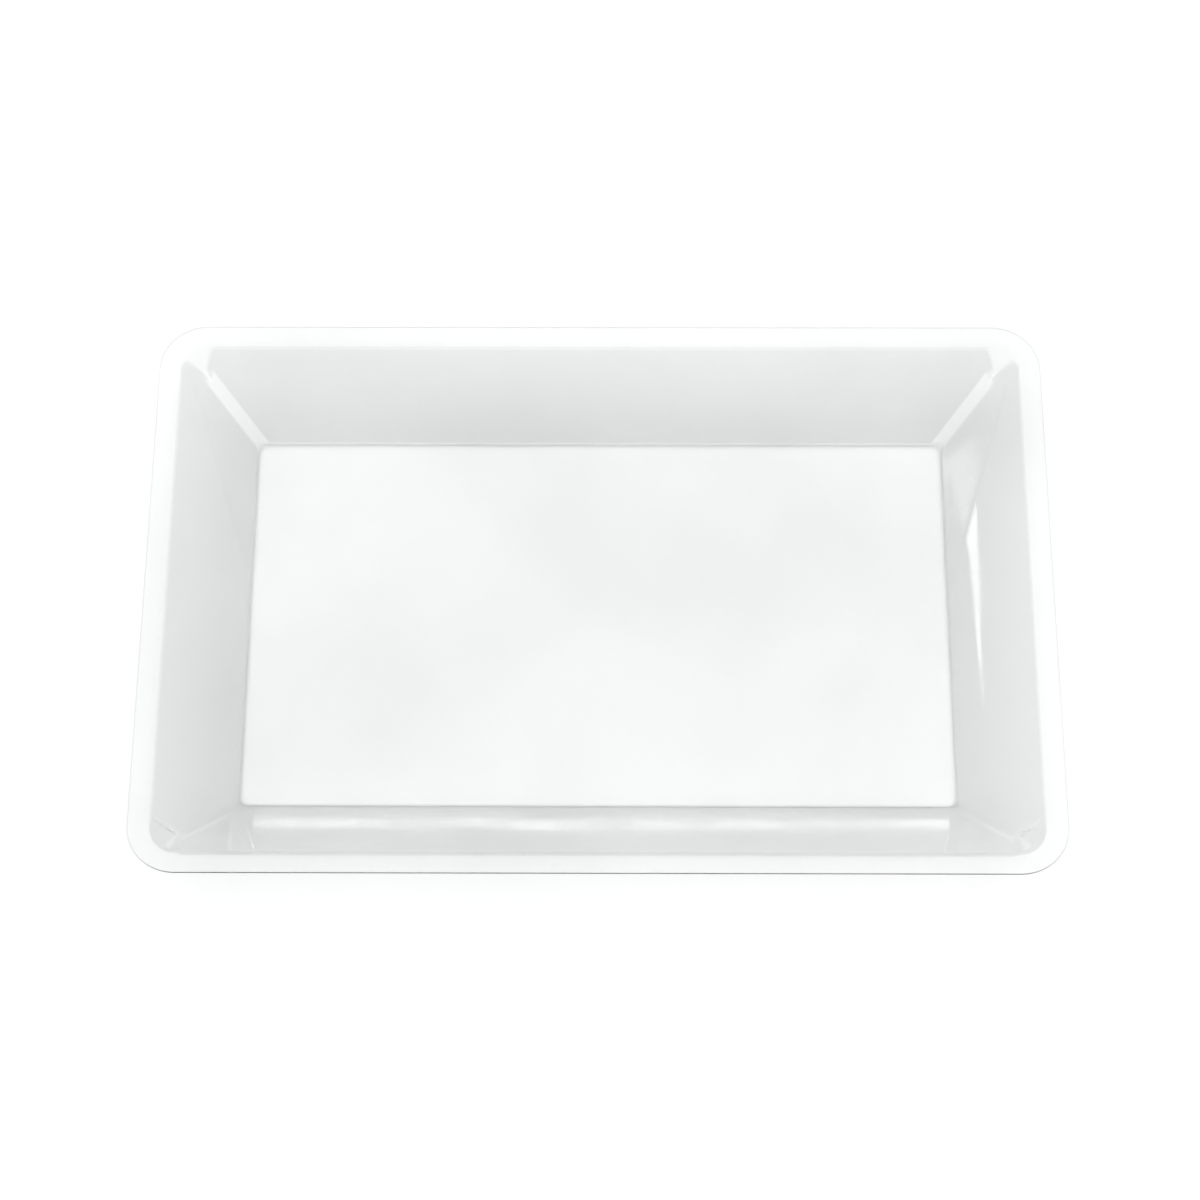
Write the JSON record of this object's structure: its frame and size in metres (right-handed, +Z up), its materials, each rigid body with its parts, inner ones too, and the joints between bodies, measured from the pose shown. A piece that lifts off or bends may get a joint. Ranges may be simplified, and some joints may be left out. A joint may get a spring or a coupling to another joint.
{
  "type": "rectangular plastic tray",
  "caption": "Shallow rectangular tray of clear glossy plastic, with a flat floor, sloping walls, small rounded corners and a flat rim that turns outwards.",
  "frame": {"origin": "middle of the flat underside, on the surface that the tray stands on", "axes": "+X along the length, +Y across the width, +Z up through the open side"},
  "size_m": [0.457, 0.303, 0.04],
  "materials": {
    "clear_plastic": "clear and glossy, with a faint green tint in the thickness"
  },
  "bodies": {
    "root": {"tray": "clear_plastic"}
  },
  "joints": []
}
